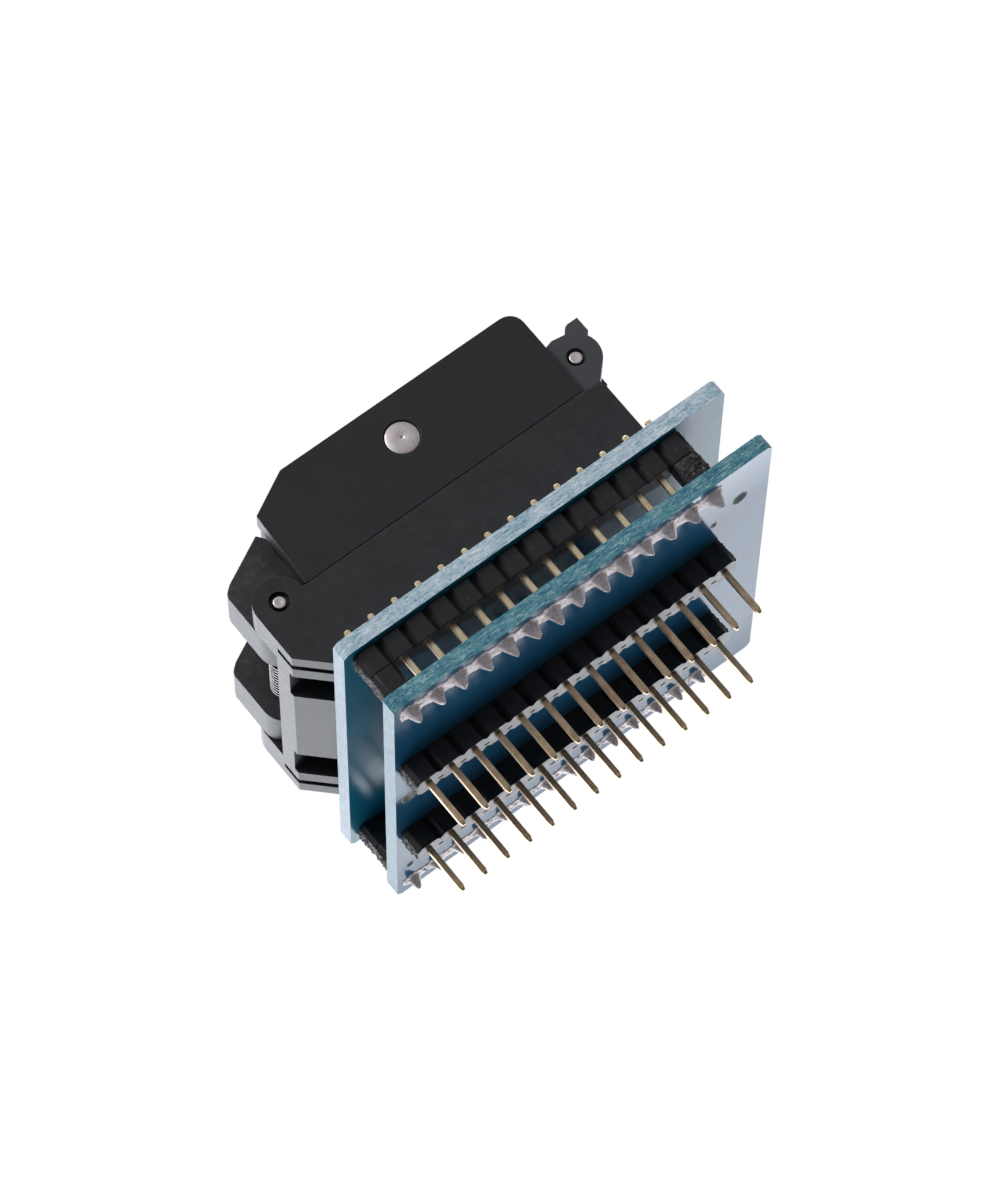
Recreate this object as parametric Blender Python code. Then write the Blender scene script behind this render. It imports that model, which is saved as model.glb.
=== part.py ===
"""Clamshell test socket for a 28-lead flat package, carried on two stacked square boards.

Two rows of fourteen pins form the foot that plugs into a programmer. Two pin headers and four
spacers hold the upper board over the lower one, and the socket stands on the upper board. Its
lid swings on a cross pin at the +X end, and a sprung latch at the -X end holds it shut.

Lengths below are millimetres, measured from the middle of the two pin rows (X, Y) and from the
pin tips (Z). The empty called adapter carries everything, and moves the origin to the middle of
the object's footprint.
"""

import math

import bmesh
import bpy

MM = 0.001
GAP = 0.03  # clearance left between pieces that touch

# Pin rows and boards
PITCH = 2.54
PINS_PER_ROW = 14
FOOT_ROW_Y = 3 * PITCH
LINK_ROW_Y = 7.5 * PITCH
PIN_WIDTH = 0.56
PIN_FREE = 5.0
PIN_STAND_OUT = 0.6
LINK_PIN_STAND_OUT = 1.3  # above the upper board
PIN_TAPER = 0.45
PIN_TIP = 0.7  # width of a cut end, as a part of the pin's width
PIN_TIP_CHAMFER = 0.2
STRIP_HEIGHT = 2.5
STRIP_HALF = PITCH / 2
STRIP_CHAMFER = 0.45
STRIP_SLOT_HALF_X = 0.26  # slot in the foot's underside at each cell boundary
STRIP_SLOT_Y = (0.24, 0.5)
STRIP_SLOT_DEPTH = 0.3
BOARD_THICKNESS = 1.57
BOARD_SPACING = 2 * STRIP_HEIGHT
LOWER_BOARD_LEFT_X = -18.35
UPPER_BOARD_LEFT_X = -18.7
BOARD_RIGHT_X = 23.05
BOARD_HALF_Y = 21.05
BOARD_CHAMFER = 0.5
# Bare holes of the lower board: x, y, radius
ROUND_HOLES = (
    (19.82, -14.53, 0.8),
    (17.0, -12.65, 0.35),
    (-16.83, -0.45, 0.8),
    (-16.88, 15.4, 0.4),
)
ROUND_HOLE_SIDES = 24

FOOT_STRIP_Z = PIN_FREE
LOWER_BOARD_Z = FOOT_STRIP_Z + STRIP_HEIGHT
LOWER_TOP_Z = LOWER_BOARD_Z + BOARD_THICKNESS
UPPER_BOARD_Z = LOWER_TOP_Z + BOARD_SPACING
UPPER_TOP_Z = UPPER_BOARD_Z + BOARD_THICKNESS

# Socket base
BASE_HALF_Y = 14.6
BASE_Z = UPPER_TOP_Z + GAP
PARTING_Z = 24.12
BASE_RIGHT_X = 17.36
WALL_LEFT_X = -15.4
END_WALL_TOP_Z = 21.5
LEFT_CHAMFER_TOP_Z = 19.2
EAR_INNER_Y = 10.85
REAR_STOP_X = 18.6
REAR_STOP_Z = (22.6, PARTING_Z)
EAR_NUB_X = 18.65
EAR_NUB_Y = (10.62, 11.2)
EAR_NUB_Z = (24.6, 25.5)
END_POCKET_X = -16.9
END_POCKET_Y = (6.45, 10.7)
END_POCKET_TOP_Z = 19.7
END_SLOT_X = -16.9
END_SLOT_Y = (12.3, 13.1)
END_SLOT_TOP_Z = 21.3
WELL_HALF = 9.1
WELL_FLOOR_Z = 19.6
CONTACT_WELL_HALF = 5.8
COUNTERBORE_DEPTH = 0.7

# Latch and its pin
LATCH_PIN = (-18.17, 24.18)
LATCH_PIN_R = 0.6
LATCH_EAR_R = 2.42
LATCH_LOBE_R = 2.37
LATCH_COUNTERBORE_R = 1.0
PRONG_Y = (5.95, 10.7)
PRONG_INNER_X = -14.6
PRONG_FOOT_Z = 24.65
LATCH_BAR_X = (-17.3, -15.6)
LATCH_BAR_Z = 28.6
HEAD_BACK = (-19.64, 29.66)
HEAD_TOP = (-15.01, 32.03)
NOSE_X = -14.42
NOSE_Z = (30.7, 31.27)

# Hinge and its pin
HINGE = (17.15, 27.35)
HINGE_PIN_R = 0.62
HINGE_COUNTERBORE_R = 0.9
HINGE_EAR_R = 2.42
HINGE_EAR_Y = (10.6, 14.15)
KNUCKLE_R = 1.9
KNUCKLE_Y = (4.5, 10.4)
TAIL_Y = (7.4, 10.4)
TAIL_ROOT = (17.09, 27.55)
TAIL_ANGLE = math.radians(48)
TAIL_HALF_WIDTH = 1.05
TAIL_CORNER = (20.94, 31.9)
RUNNING = 0.04  # radial clearance of each pin in its holes
PIN_END_RECESS = 0.1
PIN_END_BEVEL = 0.04

# Lid and pressure pad
LID_Z = PARTING_Z + 0.1
LID_TOP_Z = 34.3
LID_X = (-15.3, 15.5)
LID_END_X = (-14.3, 14.2)
LID_CAVITY_X = (-13.0, 12.6)
LID_CAVITY_HALF_Y = 11.1
LATCH_RECESS_HALF_Y = 12.6
LID_CEILING_Z = 32.8
LID_WINDOW_HALF = 6.6
PAD_PIN_Z = 30.33
PAD_PIN_R = 1.625
PAD_FOOT_HALF = 2.8
PAD_PLATE_HALF = 7.4
PAD_PLATE_Z = (24.6, 26.8)
PAD_BLOCK_HALF = 5.6
PAD_TOP_Z = 33.5

# Nest and contacts
NEST_Z = (21.0, 23.2)
NEST_HALF = 8.9
NEST_CHAMFER = 0.8
DEVICE_POCKET_HALF = 3.05
DEVICE_SEAT_Z = 22.3
CONTACT_WINDOW_X = (-2.25, 2.25)
CONTACT_WINDOW_Y = (-4.8, -2.55)
CONTACT_WINDOW_TOP_Z = 22.9
CONTACT_PITCH = 0.65
CONTACTS_PER_SIDE = 7
CONTACT_WIDTH = 0.28
CONTACT_THICKNESS = 0.2
CONTACT_TAIL_WIDTH = 0.3
CONTACT_TAIL_ROWS = (4.3, 5.35)
WAFER_HALF_LENGTH = 2.9
WAFER_Y = (-5.7, -3.9)
WAFER_TOP_Z = 19.2

# Springs
LATCH_COIL_R = 1.14
LATCH_COIL_Y = (-2.9, 3.2)
LATCH_COIL_TURNS = 10.75
HINGE_COIL_R = 1.2
HINGE_COIL_Y = (-3.6, 3.6)
HINGE_COIL_TURNS = 12.25
TORSION_WIRE_R = 0.25
NEST_SPRING_AT = 7.2
NEST_COIL_R = 0.8
NEST_COIL_Z = (17.8, 20.8)
NEST_COIL_TURNS = 3
NEST_WIRE_R = 0.14
NEST_POCKET_R = 1.15
NEST_POCKET_Z = 17.6

ORIGIN_X = (LATCH_PIN[0] - LATCH_EAR_R + BOARD_RIGHT_X) / 2


# Helpers

def material(name, color, roughness, metallic=0.0):
    made = bpy.data.materials.new(name)
    made.use_nodes = True
    shader = made.node_tree.nodes["Principled BSDF"]
    shader.inputs["Base Color"].default_value = (*color, 1.0)
    shader.inputs["Roughness"].default_value = roughness
    shader.inputs["Metallic"].default_value = metallic
    return made


def empty(name, x, z, parent=None):
    """A parent for pieces that move together, placed in its own parent's XZ plane."""
    made = bpy.data.objects.new(name, None)
    made.location = (x * MM, 0, z * MM)
    made.parent = parent
    bpy.context.scene.collection.objects.link(made)
    return made


def arc(centre, radius, start, end, steps):
    """Points along an arc in degrees, both ends included."""
    turns = [math.radians(start + (end - start) * i / steps) for i in range(steps + 1)]
    return [(centre[0] + radius * math.cos(t), centre[1] + radius * math.sin(t)) for t in turns]


def circle(centre, radius, steps):
    return arc(centre, radius, 0, 360, steps)[:-1]


def rectangle(x, z):
    return [(x[0], z[0]), (x[1], z[0]), (x[1], z[1]), (x[0], z[1])]


def chamfered_rectangle(x, y, chamfer):
    return [
        (x[0] + chamfer, y[0]),
        (x[1] - chamfer, y[0]),
        (x[1], y[0] + chamfer),
        (x[1], y[1] - chamfer),
        (x[1] - chamfer, y[1]),
        (x[0] + chamfer, y[1]),
        (x[0], y[1] - chamfer),
        (x[0], y[0] + chamfer),
    ]


def both_sides(y):
    """The same span of Y at the -Y side and at the +Y side."""
    return ((-y[1], -y[0]), y)


def turned(x, y, side):
    """A point of the -Y side, turned by quarter turns to the side asked for."""
    for _ in range(side):
        x, y = -y, x
    return x, y


def sweep(mesh, rings):
    """Joins rings of equal length into one closed skin."""
    rows = [[mesh.verts.new(point) for point in ring] for ring in rings]
    mesh.faces.new(rows[0])
    mesh.faces.new(rows[-1])
    for near, far in zip(rows, rows[1:]):
        for i in range(len(near)):
            j = (i + 1) % len(near)
            mesh.faces.new((near[i], near[j], far[j], far[i]))


def add_prism(mesh, outline, y):
    """An XZ outline, extruded from y[0] to y[1]."""
    sweep(mesh, [[(px, py, pz) for px, pz in outline] for py in y])


def add_plate(mesh, outline, z):
    """An XY outline, extruded from z[0] to z[1]."""
    sweep(mesh, [[(px, py, pz) for px, py in outline] for pz in z])


def add_box(mesh, x, y, z):
    add_prism(mesh, rectangle(x, z), y)


def add_shaft(mesh, centre, steps, sides):
    """A turned shaft along Y: steps lists (y, radius) from one end to the other."""
    sweep(mesh, [[(px, y, pz) for px, pz in circle(centre, r, sides)] for y, r in steps])


def add_post(mesh, x, y, levels):
    """An upright square post: levels lists (z, half width) from bottom to top."""
    corners = ((-1, -1), (1, -1), (1, 1), (-1, 1))
    sweep(mesh, [[(x + a * half, y + b * half, z) for a, b in corners] for z, half in levels])


def finish_mesh(name, mesh, origin=(0, 0)):
    """Turns a bmesh in millimetres into mesh data in metres, about an origin in XZ."""
    for vert in mesh.verts:
        vert.co.x = (vert.co.x - origin[0]) * MM
        vert.co.y *= MM
        vert.co.z = (vert.co.z - origin[1]) * MM
    bmesh.ops.recalc_face_normals(mesh, faces=mesh.faces)
    data = bpy.data.meshes.new(name)
    mesh.to_mesh(data)
    mesh.free()
    return data


def add_object(name, data, finish, parent, smooth=False):
    made = bpy.data.objects.new(name, data)
    made.parent = parent
    if not data.materials:
        data.materials.append(finish)
    if smooth:
        data.shade_smooth()
        data.set_sharp_from_angle(angle=math.radians(35))
    bpy.context.scene.collection.objects.link(made)
    return made


def boolean(target, operation, name, draw, origin=(0, 0)):
    """Cuts from target, or joins to it, the shape that draw(mesh) makes."""
    mesh = bmesh.new()
    draw(mesh)
    tool = bpy.data.objects.new(name, finish_mesh(name, mesh, origin))
    tool.parent = target.parent
    tool.hide_render = True
    tool.display_type = "WIRE"
    bpy.context.scene.collection.objects.link(tool)
    modifier = target.modifiers.new(name, "BOOLEAN")
    modifier.object = tool
    modifier.operation = operation
    modifier.solver = "EXACT"


def pin_places():
    return [(i - (PINS_PER_ROW - 1) / 2) * PITCH for i in range(PINS_PER_ROW)]


# Boards, headers and pins

def strip_outline(first, count, y):
    """Moulded header strip: one eight-sided cell for each pin."""
    side = []
    for i in range(count):
        x = first + i * PITCH
        side.append((x - STRIP_HALF, STRIP_HALF - STRIP_CHAMFER))
        side.append((x - STRIP_HALF + STRIP_CHAMFER, STRIP_HALF))
        side.append((x + STRIP_HALF - STRIP_CHAMFER, STRIP_HALF))
    side.append((first + (count - 1) * PITCH + STRIP_HALF, STRIP_HALF - STRIP_CHAMFER))
    back = [(px, y + py) for px, py in side]
    front = [(px, y - py) for px, py in reversed(side)]
    return front + back


def draw_pin_holes(mesh, places, half, z):
    for x, y in places:
        add_post(mesh, x, y, [(z[0], half), (z[1], half)])


def draw_round_holes(mesh, z):
    for x, y, radius in ROUND_HOLES:
        add_plate(mesh, circle((x, y), radius, ROUND_HOLE_SIDES), z)


def make_board(name, left_x, z, places, finish, parent):
    """A board with square holes: places lists (label, hole centres, half width of each hole)."""
    mesh = bmesh.new()
    outline = chamfered_rectangle((left_x, BOARD_RIGHT_X), (-BOARD_HALF_Y, BOARD_HALF_Y), BOARD_CHAMFER)
    add_plate(mesh, outline, (z, z + BOARD_THICKNESS))
    board = add_object(name, finish_mesh(name, mesh), finish, parent)
    span = (z - 1, z + BOARD_THICKNESS + 1)
    for label, centres, half in places:
        boolean(
            board,
            "DIFFERENCE",
            f"{name}_{label}_holes",
            lambda cutter, at=centres, size=half: draw_pin_holes(cutter, at, size, span),
        )
    return board


def draw_strip_slots(mesh, y):
    """A short slot at each boundary between two cells of a foot strip, open at the bottom."""
    slot_y = (y + STRIP_SLOT_Y[0], y + STRIP_SLOT_Y[1])
    slot_z = (FOOT_STRIP_Z - 1, FOOT_STRIP_Z + STRIP_SLOT_DEPTH)
    for x in pin_places()[:-1]:
        middle = x + STRIP_HALF
        add_box(mesh, (middle - STRIP_SLOT_HALF_X, middle + STRIP_SLOT_HALF_X), slot_y, slot_z)


def make_foot(finishes, parent):
    """The 2 x 14 foot: a moulded strip for each row and its pins, each pin a piece of its own."""
    top = LOWER_TOP_Z + PIN_STAND_OUT
    half = PIN_WIDTH / 2
    levels = [(0, half / 2), (PIN_TAPER, half), (top - PIN_TIP_CHAMFER, half), (top, half * PIN_TIP)]
    mesh = bmesh.new()
    add_post(mesh, 0, 0, levels)
    pin_data = finish_mesh("foot_pin", mesh)
    for row, y in (("near", -FOOT_ROW_Y), ("far", FOOT_ROW_Y)):
        mesh = bmesh.new()
        outline = strip_outline(pin_places()[0], PINS_PER_ROW, y)
        add_plate(mesh, outline, (FOOT_STRIP_Z, LOWER_BOARD_Z - GAP))
        name = f"foot_strip_{row}"
        strip = add_object(name, finish_mesh(name, mesh), finishes["header"], parent)
        places = [(x, y) for x in pin_places()]
        span = (FOOT_STRIP_Z - 1, LOWER_BOARD_Z + 1)
        boolean(
            strip,
            "DIFFERENCE",
            f"{name}_holes",
            lambda cutter, at=places: draw_pin_holes(cutter, at, half + GAP, span),
        )
        boolean(strip, "DIFFERENCE", f"{name}_slots", lambda cutter, at=y: draw_strip_slots(cutter, at))
        for number, (x, pin_y) in enumerate(places, 1):
            pin = add_object(f"foot_pin_{row}_{number:02d}", pin_data, finishes["gold"], parent)
            pin.location = (x * MM, pin_y * MM, 0)


def draw_link_pins(mesh, y):
    half = PIN_WIDTH / 2
    bottom = LOWER_BOARD_Z - PIN_STAND_OUT
    top = UPPER_TOP_Z + LINK_PIN_STAND_OUT
    levels = [
        (bottom, half * PIN_TIP),
        (bottom + PIN_TIP_CHAMFER, half),
        (top - PIN_TAPER, half),
        (top, half / 2),
    ]
    for x in pin_places():
        add_post(mesh, x, y, levels)


def make_links(finishes, parent):
    """A header under each long edge of the upper board, with a spacer cell at each of its ends."""
    for row, y in (("near", -LINK_ROW_Y), ("far", LINK_ROW_Y)):
        name = f"link_header_{row}"
        mesh = bmesh.new()
        outline = strip_outline(pin_places()[0], PINS_PER_ROW, y)
        add_plate(mesh, outline, (UPPER_BOARD_Z - STRIP_HEIGHT, UPPER_BOARD_Z - GAP))
        header = add_object(name, finish_mesh(name, mesh), finishes["header"], parent)
        boolean(header, "UNION", f"{name}_pins", lambda pins, at=y: draw_link_pins(pins, at))
        for end, x in (("left", pin_places()[0]), ("right", pin_places()[-1])):
            name = f"spacer_{row}_{end}"
            mesh = bmesh.new()
            top = UPPER_BOARD_Z - STRIP_HEIGHT - GAP
            add_plate(mesh, strip_outline(x, 1, y), (LOWER_TOP_Z + GAP, top))
            spacer = add_object(name, finish_mesh(name, mesh), finishes["header"], parent)
            span = (LOWER_TOP_Z - 1, UPPER_BOARD_Z)
            boolean(
                spacer,
                "DIFFERENCE",
                f"{name}_hole",
                lambda cutter, at=(x, y): draw_pin_holes(cutter, [at], PIN_WIDTH / 2 + GAP, span),
            )


# Contacts and nest

def contact_places():
    """Each contact of the -Y side: its X, and the Y of its tail, in two staggered rows."""
    middle = (CONTACTS_PER_SIDE - 1) / 2
    rows = CONTACT_TAIL_ROWS
    return [((i - middle) * CONTACT_PITCH, -rows[i % 2]) for i in range(CONTACTS_PER_SIDE)]


def draw_contact(mesh, x, tail_y, side):
    """A stamped contact: a tail through the board and a blade that bends in under the device."""
    thick = CONTACT_THICKNESS
    blade = [(-4.45, 18.0), (-4.45, 21.3), (-2.8, 22.2)]
    inner = [(-4.45 + thick, 18.0), (-4.45 + thick, 21.2), (-2.8 + thick * 0.3, 22.2 - thick)]
    outline = blade + inner[::-1]
    edges = (x - CONTACT_WIDTH / 2, x + CONTACT_WIDTH / 2)
    sweep(mesh, [[(*turned(at, y, side), z) for y, z in outline] for at in edges])
    half = CONTACT_TAIL_WIDTH / 2
    column = rectangle((x - half, x + half), (tail_y - half, tail_y + half))
    ends = (UPPER_BOARD_Z - 0.7, BASE_Z + 1)
    sweep(mesh, [[(*turned(px, py, side), z) for px, py in column] for z in ends])


def make_contact_wafers(finishes, parent):
    """Each side's seven contacts, moulded into one bar that drops into the base."""
    corners = rectangle((-WAFER_HALF_LENGTH, WAFER_HALF_LENGTH), WAFER_Y)
    for side, label in enumerate(("near", "right", "far", "left")):
        name = f"contact_wafer_{label}"
        mesh = bmesh.new()
        add_plate(mesh, [turned(x, y, side) for x, y in corners], (BASE_Z + 0.1, WAFER_TOP_Z))
        wafer = add_object(name, finish_mesh(name, mesh), finishes["contact"], parent)

        def draw_contacts(joined, side=side):
            for x, tail_y in contact_places():
                draw_contact(joined, x, tail_y, side)

        boolean(wafer, "UNION", f"{name}_contacts", draw_contacts)


def make_nest(finish, parent):
    """The floating seat that holds the device over the contacts."""
    name = "nest_plate"
    mesh = bmesh.new()
    half = (-NEST_HALF, NEST_HALF)
    add_plate(mesh, chamfered_rectangle(half, half, NEST_CHAMFER), NEST_Z)
    nest = add_object(name, finish_mesh(name, mesh), finish, parent)

    def draw_device_pocket(cutter):
        pocket = (-DEVICE_POCKET_HALF, DEVICE_POCKET_HALF)
        add_box(cutter, pocket, pocket, (DEVICE_SEAT_Z, NEST_Z[1] + 1))

    def draw_contact_windows(cutter):
        corners = rectangle(CONTACT_WINDOW_X, CONTACT_WINDOW_Y)
        for side in range(4):
            outline = [turned(x, y, side) for x, y in corners]
            add_plate(cutter, outline, (NEST_Z[0] - 1, CONTACT_WINDOW_TOP_Z))

    boolean(nest, "DIFFERENCE", "device_pocket", draw_device_pocket)
    boolean(nest, "DIFFERENCE", "contact_windows", draw_contact_windows)


# Socket base

def base_outline():
    """The base seen from the side, with the latch ear at its -X end."""
    ear_left = LATCH_PIN[0] - LATCH_EAR_R
    ear_start = math.degrees(math.asin((PARTING_Z - LATCH_PIN[1]) / LATCH_EAR_R))
    slope_run = LEFT_CHAMFER_TOP_Z - BASE_Z
    return [
        (ear_left + slope_run, BASE_Z),
        (BASE_RIGHT_X, BASE_Z),
        (BASE_RIGHT_X, 23.4),
        (16.95, 23.85),
        (15.6, PARTING_Z),
        *arc(LATCH_PIN, LATCH_EAR_R, ear_start, 180, 18),
        (ear_left, LEFT_CHAMFER_TOP_Z),
    ]


def hinge_ear_outline():
    """A round-topped ear with a stepped inner top corner and a slope back to the base's end face."""
    left = HINGE[0] - HINGE_EAR_R
    foot_z = PARTING_Z - 1.5
    return [
        (left, foot_z),
        (left, 28.6),
        (15.7, 29.75),
        (16.4, 29.92),
        *arc(HINGE, HINGE_EAR_R, 80, -45, 12),
        (BASE_RIGHT_X, PARTING_Z),
        (BASE_RIGHT_X, foot_z),
    ]


def draw_pin_bore(mesh, centre, pin_radius, counterbore, face_y):
    """A through hole for a pin, wider for the last stretch at each outer face."""
    radius = pin_radius + RUNNING
    deep = face_y - COUNTERBORE_DEPTH
    beyond = face_y + 1
    steps = [
        (-beyond, counterbore),
        (-deep, counterbore),
        (-deep, radius),
        (deep, radius),
        (deep, counterbore),
        (beyond, counterbore),
    ]
    add_shaft(mesh, centre, steps, 16)


def make_base(finish, parent):
    name = "socket_base"
    mesh = bmesh.new()
    add_prism(mesh, base_outline(), (-BASE_HALF_Y, BASE_HALF_Y))
    base = add_object(name, finish_mesh(name, mesh), finish, parent, smooth=True)

    def draw_hinge_ears(joined):
        for y in both_sides(HINGE_EAR_Y):
            add_prism(joined, hinge_ear_outline(), y)

    def draw_rear_stop(joined):
        add_box(joined, (BASE_RIGHT_X - 2, REAR_STOP_X), (-EAR_INNER_Y, EAR_INNER_Y), REAR_STOP_Z)

    def draw_ear_nubs(joined):
        for y in both_sides(EAR_NUB_Y):
            add_box(joined, (BASE_RIGHT_X, EAR_NUB_X), y, EAR_NUB_Z)

    def draw_latch_space(cutter):
        inside = (-EAR_INNER_Y, EAR_INNER_Y)
        add_box(cutter, (-22, WALL_LEFT_X), inside, (END_WALL_TOP_Z, 28))

    def draw_nest_well(cutter):
        half = (-WELL_HALF, WELL_HALF)
        add_box(cutter, half, half, (WELL_FLOOR_Z, 26))

    def draw_contact_well(cutter):
        half = (-CONTACT_WELL_HALF, CONTACT_WELL_HALF)
        add_box(cutter, half, half, (BASE_Z - 1, WELL_FLOOR_Z + 1))

    def draw_nest_spring_pockets(cutter):
        for x in (-NEST_SPRING_AT, NEST_SPRING_AT):
            for y in (-NEST_SPRING_AT, NEST_SPRING_AT):
                add_plate(cutter, circle((x, y), NEST_POCKET_R, 12), (NEST_POCKET_Z, WELL_FLOOR_Z + 1))

    def draw_end_pockets(cutter):
        for y in both_sides(END_POCKET_Y):
            add_box(cutter, (-22, END_POCKET_X), y, (BASE_Z - 1, END_POCKET_TOP_Z))

    def draw_end_slots(cutter):
        for y in both_sides(END_SLOT_Y):
            add_box(cutter, (-22, END_SLOT_X), y, (BASE_Z - 1, END_SLOT_TOP_Z))

    def draw_latch_pin_hole(cutter):
        draw_pin_bore(cutter, LATCH_PIN, LATCH_PIN_R, LATCH_COUNTERBORE_R, BASE_HALF_Y)

    def draw_hinge_pin_hole(cutter):
        draw_pin_bore(cutter, HINGE, HINGE_PIN_R, HINGE_COUNTERBORE_R, HINGE_EAR_Y[1])

    boolean(base, "UNION", "hinge_ears", draw_hinge_ears)
    boolean(base, "UNION", "rear_stop", draw_rear_stop)
    boolean(base, "UNION", "ear_nubs", draw_ear_nubs)
    boolean(base, "DIFFERENCE", "latch_space", draw_latch_space)
    boolean(base, "DIFFERENCE", "nest_well", draw_nest_well)
    boolean(base, "DIFFERENCE", "contact_well", draw_contact_well)
    boolean(base, "DIFFERENCE", "nest_spring_pockets", draw_nest_spring_pockets)
    boolean(base, "DIFFERENCE", "end_pockets", draw_end_pockets)
    boolean(base, "DIFFERENCE", "end_slots", draw_end_slots)
    boolean(base, "DIFFERENCE", "latch_pin_hole", draw_latch_pin_hole)
    boolean(base, "DIFFERENCE", "hinge_pin_hole", draw_hinge_pin_hole)


# Lid and pressure pad

def lid_outline():
    """The lid's side cheek: a sloped top corner at the latch end and a round one at the hinge end."""
    left, right = LID_X
    round_r = 1.5
    return [
        (left, LID_Z),
        (right, LID_Z),
        *arc((right - round_r, LID_TOP_Z - round_r), round_r, 0, 90, 6),
        (-10.5, LID_TOP_Z),
        (-14.8, 32.0),
    ]


def tail_outline():
    """A stop arm that leaves the knuckle at an angle and ends in a square corner."""
    along = (math.cos(TAIL_ANGLE), math.sin(TAIL_ANGLE))
    across = (-along[1] * TAIL_HALF_WIDTH, along[0] * TAIL_HALF_WIDTH)
    left = (TAIL_ROOT[0] + across[0] + along[0], TAIL_ROOT[1] + across[1] + along[1])
    right = (TAIL_ROOT[0] - across[0] + along[0], TAIL_ROOT[1] - across[1] + along[1])
    left_run = (TAIL_CORNER[1] - left[1]) / along[1]
    right_run = (TAIL_CORNER[0] - right[0]) / along[0]
    left_end_x = left[0] + left_run * along[0]
    cut = 0.2
    return [
        left,
        right,
        (TAIL_CORNER[0], right[1] + right_run * along[1]),
        TAIL_CORNER,
        (left_end_x + cut, TAIL_CORNER[1]),
        (left_end_x - cut * along[0], TAIL_CORNER[1] - cut * along[1]),
    ]


def make_lid(finish, axis):
    name = "socket_lid"
    mesh = bmesh.new()
    add_prism(mesh, lid_outline(), (-BASE_HALF_Y, BASE_HALF_Y))
    lid = add_object(name, finish_mesh(name, mesh, HINGE), finish, axis, smooth=True)

    def draw_cavity(cutter):
        half = (-LID_CAVITY_HALF_Y, LID_CAVITY_HALF_Y)
        add_box(cutter, LID_CAVITY_X, half, (LID_Z - 1, LID_CEILING_Z))

    def draw_latch_recess(cutter):
        half = (-LATCH_RECESS_HALF_Y, LATCH_RECESS_HALF_Y)
        add_box(cutter, (LID_X[0] - 1, LID_END_X[0]), half, (LID_Z - 1, LID_TOP_Z + 1))

    def draw_ear_relief(cutter):
        half = (-HINGE_EAR_Y[1] - GAP, HINGE_EAR_Y[1] + GAP)
        add_box(cutter, (LID_END_X[1], LID_X[1] + 1), half, (LID_Z - 1, 30.6))

    def draw_window(cutter):
        narrow = LID_WINDOW_HALF
        levels = [(LID_CEILING_Z - 1, narrow), (LID_TOP_Z - 1.1, narrow), (LID_TOP_Z + 0.1, narrow + 1.2)]
        add_post(cutter, 0, 0, levels)

    def draw_knuckles(joined):
        root_x = LID_END_X[1] - 0.8
        hub = arc(HINGE, KNUCKLE_R, 84, -90, 12)
        outline = [(root_x, HINGE[1] + KNUCKLE_R), *hub, (root_x, HINGE[1] - KNUCKLE_R)]
        for y in both_sides(KNUCKLE_Y):
            add_prism(joined, outline, y)

    def draw_stop_arms(joined):
        for y in both_sides(TAIL_Y):
            add_prism(joined, tail_outline(), y)

    def draw_hinge_hole(cutter):
        radius = HINGE_PIN_R + RUNNING
        add_shaft(cutter, HINGE, [(-12, radius), (12, radius)], 16)

    def draw_pad_pin_hole(cutter):
        radius = PAD_PIN_R + RUNNING
        add_shaft(cutter, (0, PAD_PIN_Z), [(-16, radius), (16, radius)], 24)

    boolean(lid, "DIFFERENCE", "lid_cavity", draw_cavity, HINGE)
    boolean(lid, "DIFFERENCE", "latch_recess", draw_latch_recess, HINGE)
    boolean(lid, "DIFFERENCE", "ear_relief", draw_ear_relief, HINGE)
    boolean(lid, "DIFFERENCE", "lid_window", draw_window, HINGE)
    boolean(lid, "UNION", "knuckles", draw_knuckles, HINGE)
    boolean(lid, "UNION", "stop_arms", draw_stop_arms, HINGE)
    boolean(lid, "DIFFERENCE", "lid_hinge_hole", draw_hinge_hole, HINGE)
    boolean(lid, "DIFFERENCE", "lid_pad_pin_hole", draw_pad_pin_hole, HINGE)


def make_pressure_pad(finishes, lid_axis, pad_axis):
    """The pad that holds the device down, free to tilt a little about its cross pin."""
    make_pin("pressure_pin", (0, PAD_PIN_Z), PAD_PIN_R, BASE_HALF_Y, finishes["steel"], lid_axis, HINGE)
    name = "pressure_pad"
    origin = (0, PAD_PIN_Z)
    mesh = bmesh.new()
    levels = [
        (NEST_Z[1] + 0.2, PAD_FOOT_HALF),
        (PAD_PLATE_Z[0], PAD_FOOT_HALF),
        (PAD_PLATE_Z[0], PAD_PLATE_HALF),
        (PAD_PLATE_Z[1], PAD_PLATE_HALF),
        (PAD_PLATE_Z[1], PAD_BLOCK_HALF),
        (PAD_TOP_Z - 0.4, PAD_BLOCK_HALF),
        (PAD_TOP_Z, PAD_BLOCK_HALF - 0.4),
    ]
    add_post(mesh, 0, 0, levels)
    pad = add_object(name, finish_mesh(name, mesh, origin), finishes["pad"], pad_axis)

    def draw_hole(cutter):
        radius = PAD_PIN_R + RUNNING
        add_shaft(cutter, origin, [(-9, radius), (9, radius)], 24)

    boolean(pad, "DIFFERENCE", "pad_pin_hole", draw_hole, origin)


# Latch and pins

def latch_outline():
    """One prong of the latch: a lobe round its pin, an upright back and a head that slopes in."""
    back = LATCH_PIN[0] - LATCH_LOBE_R
    lobe_start = math.degrees(math.asin((PRONG_FOOT_Z - LATCH_PIN[1]) / LATCH_LOBE_R))
    return [
        (PRONG_INNER_X, PRONG_FOOT_Z),
        *arc(LATCH_PIN, LATCH_LOBE_R, lobe_start, -180, 20),
        (back, 28.6),
        (back + 0.14, 29.0),
        (back + 0.45, 29.3),
        HEAD_BACK,
        HEAD_TOP,
        (NOSE_X, NOSE_Z[1]),
        (NOSE_X, NOSE_Z[0]),
        (PRONG_INNER_X, NOSE_Z[0] - 0.1),
    ]


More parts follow.
